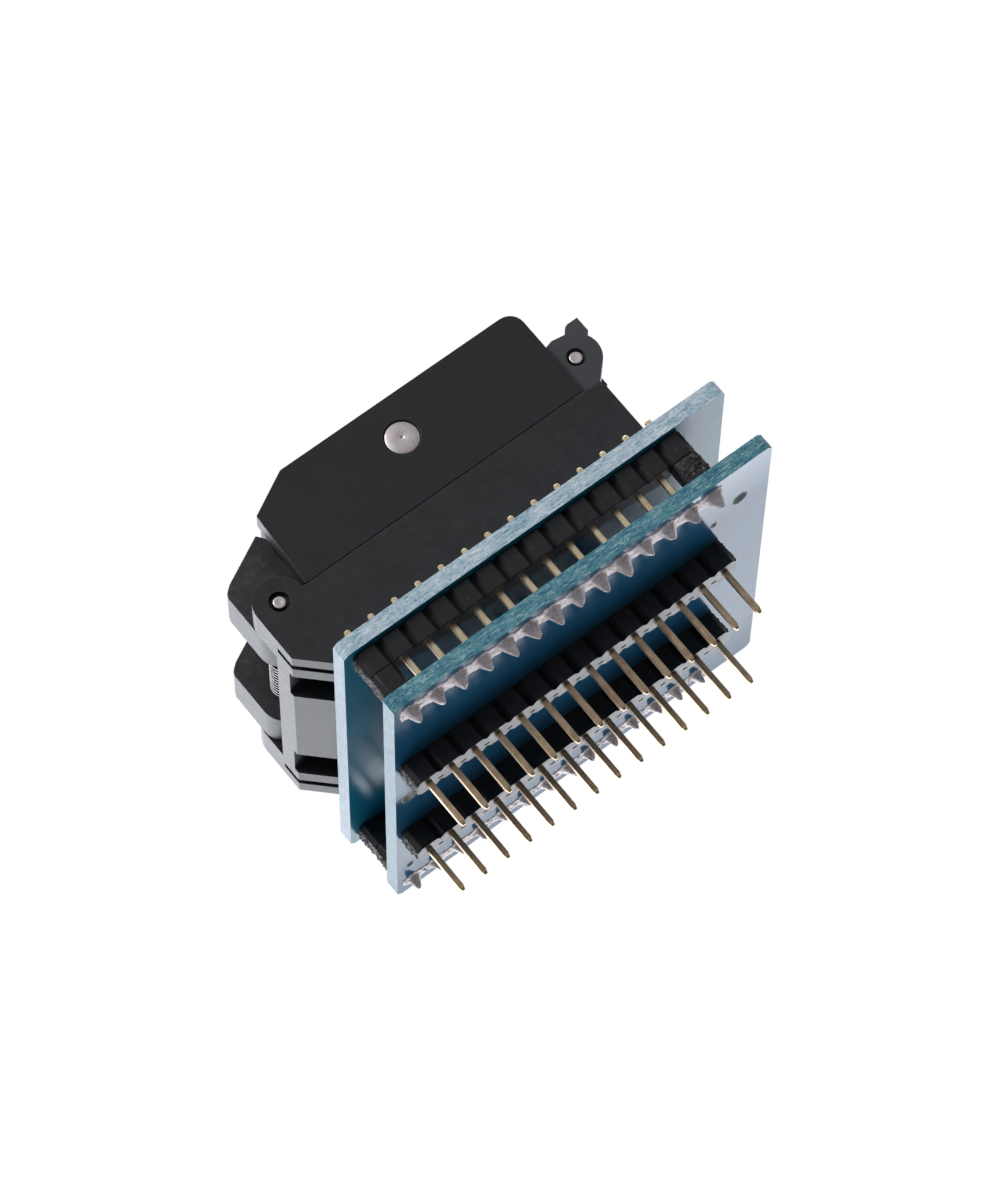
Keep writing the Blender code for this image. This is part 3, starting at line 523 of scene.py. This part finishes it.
def strip_points(xs, y, z, half_x, half_y, cut):
    """Outline of a header moulding: one eight-sided cell for each pin."""
    side = []
    for x in xs:
        side += [(x - half_x, half_y - cut), (x - half_x + cut, half_y), (x + half_x - cut, half_y)]
    side.append((xs[-1] + half_x, half_y - cut))
    back = [(px, y + py, z) for px, py in side]
    front = [(px, y - py, z) for px, py in reversed(side)]
    return front + back


def make_link_headers(plastic, gold):
    """The two headers between the boards: black strips, and the gold pins that run through both boards."""
    for row in ROWS:
        low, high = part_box(f"link_header_{row}")
        y = LINK_Y[row]
        half_y = (high.y - low.y) / 2
        top = UPPER_Z[0] - 0.03 * MM
        bottom = UPPER_Z[0] - LINK_MOULDING_H
        mesh = bmesh.new()
        levels = ((bottom, 0.06), (bottom + 0.07 * MM, 0), (top - 0.07 * MM, 0), (top, 0.06))
        rings = [
            strip_points(PIN_X, y, z, PITCH / 2 - inset * MM * 0.5, half_y - inset * MM, 0.45 * MM)
            for z, inset in levels
        ]
        loft(mesh, rings)
        node = f"link_header_{row}"
        show(f"link_strip_{row}", mesh, "adapter", plastic, [node], angle=20)
        mesh = bmesh.new()
        for x in PIN_X:
            add_pin(mesh, x, y, [
                (low.z, PIN_HALF * 0.5), (low.z + 0.2 * MM, PIN_HALF), (high.z - 0.45 * MM, PIN_HALF),
                (high.z - 0.3 * MM, PIN_HALF * 0.9), (high.z - 0.2 * MM, PIN_HALF * 0.6),
            ])
        show(f"link_pins_{row}", mesh, "adapter", gold, [node], angle=20)


def make_solder_joint(mesh, x, y, z, up, reach, radius, rng, lean=(0, 0)):
    """One joint: a flared foot on its pad, drawn up round the pin to a blunt, uneven tip."""
    lobes = [(rng.uniform(-0.09, 0.09), rng.uniform(0, 6.28), k) for k in (1, 2, 3, 5)]
    steps = (
        (0, 1.0), (0.03, 0.98), (0.09, 0.88), (0.2, 0.74), (0.36, 0.6),
        (0.55, 0.48), (0.74, 0.37), (0.9, 0.27), (0.98, 0.17), (1.0, 0.05),
    )
    rings = []
    for rise, wide in steps:
        ring = []
        slide = rise ** 1.4
        for turn in circle(20):
            bulge = 1 + sum(size * math.cos(k * turn + phase) for size, phase, k in lobes) * (0.5 + rise)
            r = radius * wide * bulge
            ring.append((
                x + r * math.cos(turn) + lean[0] * slide,
                y + r * math.sin(turn) + lean[1] * slide,
                z + up * rise * reach * (1 + 0.07 * math.cos(turn + lobes[0][1])),
            ))
        rings.append(ring)
    loft(mesh, rings)


def show_solder(name, mesh, finish):
    """Shows joints as one piece, rounded by a level of subdivision."""
    joint = show(name, mesh, "adapter", finish, angle=80)
    smooth = joint.modifiers.new("smooth", "SUBSURF")
    smooth.levels = smooth.render_levels = 1


def make_solder(finish):
    """Drawn-down joints under the lower board, and low fillets where pins come through the tops."""
    rng = random.Random(7)
    for row in ROWS:
        size = 1 if row == "near" else 0.75
        mesh = bmesh.new()
        for x in PIN_X:
            lean = (rng.uniform(-0.2, 0.3) * MM, rng.uniform(-0.2, 0.2) * MM)
            make_solder_joint(
                mesh, x, LINK_Y[row], LOWER_Z[0] + 0.01 * MM, -1, size * rng.uniform(1.2, 1.6) * MM,
                size * rng.uniform(1.0, 1.2) * MM, rng, lean,
            )
        show_solder(f"solder_under_lower_{row}", mesh, finish)
        places = (
            ("solder_over_lower", FOOT_Y[row], LOWER_Z[1]),
            ("solder_over_upper", LINK_Y[row], UPPER_Z[1]),
        )
        for label, y, z in places:
            mesh = bmesh.new()
            for x in PIN_X:
                reach, radius = rng.uniform(0.55, 0.7) * MM, rng.uniform(0.78, 0.9) * MM
                make_solder_joint(mesh, x, y, z - 0.01 * MM, 1, reach, radius, rng)
            show_solder(f"{label}_{row}", mesh, finish)
    mesh = bmesh.new()
    for x, y in tail_places():
        reach, radius = rng.uniform(0.6, 0.75) * MM, rng.uniform(0.36, 0.42) * MM
        make_solder_joint(mesh, x, y, UPPER_Z[0] + 0.01 * MM, -1, reach, radius, rng)
    show_solder("solder_under_upper", mesh, finish)


def make_flux(finish):
    """Wrinkled solder and flux that runs from pad to pad along each row under the lower board."""
    rng = random.Random(41)
    step = 0.16 * MM
    count = round((PIN_X[-1] - PIN_X[0] + 2.4 * MM) / step)
    across = 14
    for row, inward, size in (("near", 1, 1), ("far", -1, 0.7)):
        mesh = bmesh.new()
        low_rows, high_rows = [], []
        for i in range(count + 1):
            x = PIN_X[0] - 1.2 * MM + i * step
            near_pin = min(abs(x - pin) for pin in PIN_X) / (PITCH / 2)
            half = (1.12 - 0.3 * near_pin ** 2 + rng.uniform(-0.08, 0.08)) * MM * size
            if i in (0, count):
                half *= 0.4
            low_row, high_row = [], []
            for j in range(across + 1):
                v = 2 * j / across - 1
                rim = i in (0, count) or j in (0, across)
                y = LINK_Y[row] + inward * v * half * (1.25 if v > 0 else 1)
                wave = 0.5 + 0.5 * math.sin(9 * x / MM + 3 * v + rng.uniform(-1.2, 1.2))
                high = 0 if rim else (0.05 + 0.2 * (1 - v * v) * wave * rng.uniform(0.4, 1)) * MM
                low_row.append(mesh.verts.new((x, y, LOWER_Z[0] + 0.02 * MM)))
                high_row.append(mesh.verts.new((x, y, LOWER_Z[0] - 0.02 * MM - high)))
            low_rows.append(low_row)
            high_rows.append(high_row)
        for rows in (low_rows, high_rows):
            for a, b in zip(rows, rows[1:]):
                for j in range(across):
                    mesh.faces.new((a[j], a[j + 1], b[j + 1], b[j]))
        for k in (0, across):
            for i in range(count):
                mesh.faces.new((low_rows[i][k], low_rows[i + 1][k], high_rows[i + 1][k], high_rows[i][k]))
        for k in (0, count):
            for j in range(across):
                mesh.faces.new((low_rows[k][j], low_rows[k][j + 1], high_rows[k][j + 1], high_rows[k][j]))
        show(f"flux_{row}", mesh, "adapter", finish, angle=40)


def make_torn_ends(finish):
    """Crumpled plastic on the end faces of the headers, where each was snapped off a longer strip."""
    rng = random.Random(23)
    for row in ROWS:
        seam = UPPER_Z[0] - LINK_MOULDING_H
        spans = (
            ("foot", FOOT_Y[row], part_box(f"foot_strip_{row}")[0].z, LOWER_Z[0]),
            ("link", LINK_Y[row], seam, UPPER_Z[0]),
            ("spacer", LINK_Y[row], LOWER_Z[1], seam),
        )
        for label, y, low, high in spans:
            span_y = (y - 0.82 * MM, y + 0.82 * MM)
            span_z = (low + 0.05 * MM, high - 0.1 * MM)
            for end, side, x in (("left", -1, PIN_X[0] - PITCH / 2), ("right", 1, PIN_X[-1] + PITCH / 2)):
                mesh = bmesh.new()
                add_crust(mesh, x, side, span_y, span_z, rng)
                show(f"torn_{label}_{row}_{end}", mesh, "adapter", finish, angle=25)


def make_torn_front(finish):
    """The near right spacer was broken on its outer face as well."""
    low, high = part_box("spacer_near_right")
    half = (high.x - low.x) / 2 - 0.12 * MM
    mesh = bmesh.new()
    add_crust(mesh, 0, 1, (-half, half), (low.z + 0.1 * MM, high.z - 0.1 * MM), random.Random(31))
    bmesh.ops.rotate(mesh, matrix=Matrix.Rotation(-math.pi / 2, 3, "Z"), verts=mesh.verts)
    bmesh.ops.translate(mesh, vec=((low.x + high.x) / 2, low.y, 0), verts=mesh.verts)
    show("torn_spacer_front", mesh, "adapter", finish, angle=25)


def add_crust(mesh, x, side, span_y, span_z, rng):
    """A ragged skin, about a tenth of a millimetre thick, over an end face at x."""
    across, along = 11, 15
    front, back = [], []
    for i in range(across + 1):
        for j in range(along + 1):
            rim = i in (0, across) or j in (0, along)
            y = span_y[0] + (span_y[1] - span_y[0]) * i / across + rng.uniform(-0.07, 0.07) * MM
            z = span_z[0] + (span_z[1] - span_z[0]) * j / along + rng.uniform(-0.05, 0.05) * MM
            if i in (0, across):
                y += rng.uniform(-0.04, 0.07) * MM * (1 if i else -1)
            high = 0.01 if rim else rng.choice((0.02, 0.05, 0.08, 0.13, 0.17))
            front.append(mesh.verts.new((x + side * high * MM, y, z)))
            back.append(mesh.verts.new((x - side * 0.06 * MM, y, z)))
    step = along + 1
    for i in range(across):
        for j in range(along):
            a = i * step + j
            for layer in (front, back):
                mesh.faces.new((layer[a], layer[a + 1], layer[a + step + 1], layer[a + step]))
    border = list(range(along + 1))
    border += [i * step + along for i in range(1, across + 1)]
    border += [across * step + j for j in range(along - 1, -1, -1)]
    border += [i * step for i in range(across - 1, 0, -1)]
    for a, b in zip(border, border[1:] + border[:1]):
        mesh.faces.new((front[a], front[b], back[b], back[a]))


def add_trace(mesh, path, z):
    """A raised copper line under the mask, along a path of (x, y)."""
    half_width, high = 0.17 * MM, 0.02 * MM
    points = [Vector(point) for point in path]
    rows = []
    for i, point in enumerate(points):
        ahead = (points[min(i + 1, len(points) - 1)] - point).normalized()
        behind = (point - points[max(i - 1, 0)]).normalized()
        along = (ahead + behind).normalized()
        stretch = 1 / max(along.dot(ahead if ahead.length else behind), 0.5)
        off = Vector((-along.y, along.x)) * half_width * stretch
        left, right = point + off, point - off
        rows.append([(*left, z - high), (*left, z + high), (*right, z + high), (*right, z - high)])
    loft(mesh, rows)


def make_traces(finish):
    """Copper lines on the board tops: from under the socket to the link pins, and on to the foot pins."""
    pad_edge = 0.6 * MM
    straight = 1.2 * MM
    mesh = bmesh.new()
    for side in (-1, 1):
        y_pad = side * (abs(LINK_Y["near"]) - pad_edge)
        y_in = side * 14.75 * MM
        for x in PIN_X:
            jog = (AXIS_X - x) * 0.1
            path = [
                (x, y_pad), (x, y_in + side * (straight + abs(jog))),
                (x + jog, y_in + side * straight), (x + jog, y_in),
            ]
            add_trace(mesh, path, UPPER_Z[1])
    show("upper_traces", mesh, "adapter", finish, smooth=False)
    mesh = bmesh.new()
    for row, side in (("near", -1), ("far", 1)):
        for x in PIN_X:
            path = [(x, LINK_Y[row] - side * pad_edge), (x, FOOT_Y[row] + side * pad_edge)]
            add_trace(mesh, path, LOWER_Z[1])
    show("lower_traces", mesh, "adapter", finish, smooth=False)


def make_hole_rims(finish):
    """Thin plated rims and barrels in the bare holes of the lower board."""
    proud, thick = 0.02 * MM, 0.03 * MM
    low, high = LOWER_Z[0] - proud, LOWER_Z[1] + proud
    for name, (x, y, radius) in HOLES.items():
        outer = radius + 0.07 * MM
        inner = radius - thick
        section = (
            (inner, low), (outer, low), (outer, low + thick), (radius, low + thick),
            (radius, high - thick), (outer, high - thick), (outer, high), (inner, high),
        )
        mesh = bmesh.new()
        rows = []
        for r, z in section:
            rows.append([mesh.verts.new((x + r * math.cos(t), y + r * math.sin(t), z)) for t in circle(40)])
        skin(mesh, rows + rows[:1])
        show(f"hole_rim_{name}", mesh, "adapter", finish, angle=30)


def make_via_plug(finish):
    """A grey drop that closes the via under the lower board."""
    x, y, radius = HOLES["via"]
    mesh = bmesh.new()
    base = LOWER_Z[0] + 0.01 * MM
    make_solder_joint(mesh, x, y, base, -1, 0.14 * MM, radius + 0.05 * MM, random.Random(5))
    show_solder("via_plug", mesh, finish)


def make_spring(name, node, points, radius, finish):
    """Round wire through the points, in metres."""
    data = bpy.data.curves.new(name, "CURVE")
    data.dimensions = "3D"
    data.bevel_depth = radius
    data.bevel_resolution = 5
    data.use_fill_caps = True
    spline = data.splines.new("POLY")
    spline.points.add(len(points) - 1)
    for place, point in zip(spline.points, points):
        place.co = (*point, 1)
    curve = bpy.data.objects.new(name, data)
    bpy.context.scene.collection.objects.link(curve)
    seen = curve.evaluated_get(bpy.context.evaluated_depsgraph_get())
    mesh = bpy.data.meshes.new_from_object(seen)
    bpy.data.objects.remove(curve)
    mesh.name = name
    mesh.materials.clear()
    mesh.materials.append(finish)
    mesh.shade_smooth()
    made = bpy.data.objects.new(name, mesh)
    bpy.context.scene.collection.objects.link(made)
    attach(made, "adapter")
    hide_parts(node)
    return made


def torsion_points(centre, radius, y0, y1, start, turns, first, last):
    """A coil round a pin along Y, with a straight leg at each end."""
    count = round(turns * 28)
    coil = []
    for i in range(count + 1):
        turn = math.radians(start + 360 * turns * i / count)
        y = y0 + (y1 - y0) * i / count
        coil.append((centre.x + radius * math.cos(turn), y, centre.z + radius * math.sin(turn)))
    return [first, *coil, last]


def make_springs(finish):
    """Torsion springs round the latch and hinge pins, and the four that push the nest up."""
    pin = middle("latch_pin")
    low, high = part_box("latch_spring")
    y0, y1 = low.y + TORSION_END, high.y - TORSION_END
    radius = 1.14 * MM
    upper_leg, lower_leg = (pin.x + radius, y0, high.z), (high.x, y1, pin.z - radius)
    points = torsion_points(pin, radius, y0, y1, 0, 10.75, upper_leg, lower_leg)
    make_spring("latch_coil", "latch_spring", points, TORSION_WIRE_R, finish)
    pin = middle("hinge_pin")
    low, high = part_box("hinge_spring")
    y0, y1 = low.y + TORSION_END, high.y - TORSION_END
    radius = 1.2 * MM
    lid_leg, base_leg = (low.x, y0, pin.z + radius), (pin.x - radius, y1, low.z)
    points = torsion_points(pin, radius, y0, y1, 90, 12.25, lid_leg, base_leg)
    make_spring("hinge_coil", "hinge_spring", points, TORSION_WIRE_R, finish)
    turns, steps = 4, 96
    for row in ROWS:
        for end in ENDS:
            node = f"nest_spring_{row}_{end}"
            low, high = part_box(node)
            centre = (low + high) / 2
            climb = high.z - low.z - 2 * NEST_WIRE_R
            points = []
            for i in range(steps + 1):
                turn = 2 * math.pi * turns * i / steps
                out = Vector((math.cos(turn), math.sin(turn))) * NEST_COIL_R
                z = low.z + NEST_WIRE_R + climb * i / steps
                points.append((centre.x + out.x, centre.y + out.y, z))
            coil = make_spring(f"nest_coil_{row}_{end}", node, points, NEST_WIRE_R, finish)
            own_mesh(coil)


def make_rods(finish):
    """The cross pins, with chamfered ends; the big one has a centre-drilled dimple in each end."""
    rim = 0.05 * MM
    for node in ("latch_pin", "hinge_pin"):
        low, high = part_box(node)
        radius = (high.x - low.x) / 2
        mesh = bmesh.new()
        profile = [
            (low.y + 0.03 * MM, radius * 0.35), (low.y, radius * 0.6), (low.y, radius - 2 * rim),
            (low.y + rim * 0.4, radius - rim * 0.7), (low.y + 2 * rim, radius),
        ]
        profile += [(low.y + high.y - y, r) for y, r in reversed(profile)]
        add_turned(mesh, middle(node), profile, 40)
        show(f"{node}_rod", mesh, "adapter", finish, [node], angle=50)
    low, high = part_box("pressure_pin")
    radius = (high.x - low.x) / 2
    mesh = bmesh.new()
    profile = [
        (low.y + 0.16 * MM, 0.03 * MM), (low.y + 0.13 * MM, 0.07 * MM), (low.y + 0.02 * MM, 0.16 * MM),
        (low.y, 0.22 * MM), (low.y, radius - 0.16 * MM), (low.y + rim, radius - rim),
        (low.y + 0.16 * MM, radius),
    ]
    profile += [(low.y + high.y - y, r) for y, r in reversed(profile)]
    add_turned(mesh, middle("pressure_pin"), profile, 64)
    show("pressure_rod", mesh, "lid", finish, ["pressure_pin"], angle=40)


def turned_quarter(x, y, side):
    """A point turned by a quarter turn for each side."""
    for _ in range(side):
        x, y = -y, x
    return x, y


def contact_offset(i):
    """Where contact i lies along its wafer, and how far out its tail stands."""
    return (i - (TAILS - 1) / 2) * TAIL_PITCH, TAIL_ROWS[i % 2]


def tail_places():
    """Where each contact's tail comes through the upper board."""
    places = []
    for side in range(4):
        for i in range(TAILS):
            along, out = contact_offset(i)
            x, y = turned_quarter(along, -out, side)
            places.append((AXIS_X + x, y))
    return places


def make_contacts(plastic, gold):
    """Each wafer's moulded bar, and its stamped contacts as gold strips of their own."""
    centre = middle("nest_plate")
    bar = ((-2.9, -5.7), (2.9, -5.7), (2.9, -3.9), (-2.9, -3.9))
    bar_z = (UPPER_Z[1] + 0.13 * MM, 19.2 * MM)
    blade = (
        (-4.45, 18.0), (-4.45, 20.6), (-4.3, 21.1), (-3.6, 21.75), (-2.9, 22.2),
        (-2.74, 22.05), (-3.5, 21.55), (-4.1, 20.98), (-4.25, 20.5), (-4.25, 18.0),
    )
    half_blade = 0.14 * MM
    for side, label in enumerate(("near", "right", "far", "left")):
        node = f"contact_wafer_{label}"
        low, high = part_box(node)
        outline = [turned_quarter(x * MM, y * MM, side) for x, y in bar]
        mesh = bmesh.new()
        loft(mesh, [[(centre.x + x, centre.y + y, z) for x, y in outline] for z in bar_z])
        bar_piece = show(f"{node}_bar", mesh, "adapter", plastic, [node], smooth=False)
        add_bevel(bar_piece, 0.08)
        mesh = bmesh.new()
        for i in range(TAILS):
            along, out = contact_offset(i)
            rings = []
            for edge in (along - half_blade, along + half_blade):
                ring = []
                for y, z in blade:
                    px, py = turned_quarter(edge, y * MM, side)
                    ring.append((centre.x + px, centre.y + py, min(z * MM, high.z)))
                rings.append(ring)
            loft(mesh, rings)
            px, py = turned_quarter(along, -out, side)
            add_pin(mesh, centre.x + px, centre.y + py, [
                (low.z, 0.09 * MM), (low.z + 0.15 * MM, 0.15 * MM), (16.6 * MM, 0.15 * MM),
            ])
        show(f"{node}_contacts", mesh, "adapter", gold, [node], angle=25)


def dress_nodes(looks):
    """Finishes for the CAD nodes that stay, with the width of their rounded edges in millimetres."""
    dress("socket_lid", looks["lid"], 0.1)
    dress("latch", looks["latch"], 0.15)
    dress("socket_base", looks["base"], 0.1)
    dress("nest_plate", looks["nest"], 0.1)
    dress("pressure_pad", looks["pad"], 0.15)
    dress("upper_board", looks["upper"], 0.06)
    dress("lower_board", looks["lower"], 0.06)
    for row in ROWS:
        dress(f"foot_strip_{row}", looks["header"], 0.06)
        for i in range(1, PINS + 1):
            dress(f"foot_pin_{row}_{i:02d}", looks["gold"], 0.05)
        for end in ENDS:
            dress(f"spacer_{row}_{end}", looks["header"], 0.06)


def make_looks():
    """Every finish, by the name that main and dress_nodes know it by."""
    blue_mask = ((0.013, 0.08, 0.17), (0.017, 0.11, 0.225))
    trace_mask = ((0.02, 0.2, 0.29), (0.024, 0.24, 0.35))
    teal_mask = ((0.008, 0.17, 0.26), (0.01, 0.22, 0.33))
    pale_edge = ((0.16, 0.34, 0.46), (0.42, 0.6, 0.72), (0.66, 0.78, 0.87), (0.95, 0.97, 0.98))
    teal_edge = ((0.022, 0.11, 0.18), (0.07, 0.23, 0.31), (0.14, 0.37, 0.43), (0.52, 0.65, 0.69))
    return {
        "lid": moulded_plastic(
            "lid_charcoal", (0.0072, 0.0075, 0.0096), (0.0094, 0.0097, 0.012), 0.42, 8, ear=(14.3, 0.65),
        ),
        "latch": moulded_plastic(
            "latch_charcoal", (0.014, 0.0138, 0.0165), (0.036, 0.035, 0.039), 0.42, 2.2,
            smudge=0.6, specks=0.3,
        ),
        "base": moulded_plastic(
            "base_black", (0.0105, 0.0098, 0.0122), (0.019, 0.0178, 0.0212), 0.4, 3,
            grain=0.007, smudge=0.12, specks=0.12, ear=(13, 0.5),
        ),
        "nest": moulded_plastic("nest_grey", (0.05, 0.05, 0.055), (0.07, 0.07, 0.075), 0.45),
        "header": header_plastic("header_black"),
        "torn": torn_plastic(
            "header_torn", (0.006, 0.006, 0.007), (0.05, 0.05, 0.053), (0.42, 0.42, 0.43), 0.08,
        ),
        "scuffed": torn_plastic(
            "header_scuffed", (0.008, 0.007, 0.008), (0.024, 0.021, 0.022), (0.11, 0.095, 0.095), 0.04,
        ),
        "upper": board_material("upper_board", *teal_mask, 0.22, pale_edge),
        "lower": board_material("lower_board", *blue_mask, 0.13, teal_edge, 0.3),
        "trace": board_material("trace_mask", *trace_mask, 0.18, teal_edge),
        "gold": plated_metal(
            "foot_gold", (0.52, 0.36, 0.23), (0.82, 0.62, 0.41), 0.34, 0.0008, (3.2, 3.2, 0.12),
        ),
        # Link pins: the pale streaks are partly drawn lines and partly painted highlight.
        "link_gold": plated_metal(
            "link_gold", (0.78, 0.54, 0.27), (1.0, 0.9, 0.66), 0.32, 0.01, (5, 5, 0.12),
        ),
        "steel": turned_steel("turned_steel"),
        "pad": plated_metal(
            "pad_aluminium", (0.31, 0.31, 0.32), (0.36, 0.36, 0.37), 0.42, 0.004, (0.12, 5, 5),
        ),
        "spring": spring_wire("spring_steel"),
        "contact": moulded_plastic("contact_brown", (0.09, 0.055, 0.028), (0.13, 0.08, 0.04), 0.45),
        "solder": solder_material("solder"),
        "barrel": moulded_plastic("hole_barrel", (0.3, 0.33, 0.33), (0.66, 0.7, 0.69), 0.45, 0.5),
    }


def main():
    make_camera()
    make_world()
    make_floor()
    make_light("key", (-0.45, -0.6, 0.68), 0.5, 6, (1, 0.985, 0.97))
    make_light("fill", (0.5, 0.1, 0.7), 0.6, 3)
    looks = make_looks()
    dress_nodes(looks)
    make_link_headers(looks["header"], looks["link_gold"])
    make_torn_ends(looks["torn"])
    make_torn_front(looks["scuffed"])
    make_solder(looks["solder"])
    make_traces(looks["trace"])
    make_hole_rims(looks["barrel"])
    make_via_plug(looks["nest"])
    make_flux(looks["solder"])
    make_springs(looks["spring"])
    make_rods(looks["steel"])
    make_contacts(looks["contact"], looks["gold"])


main()
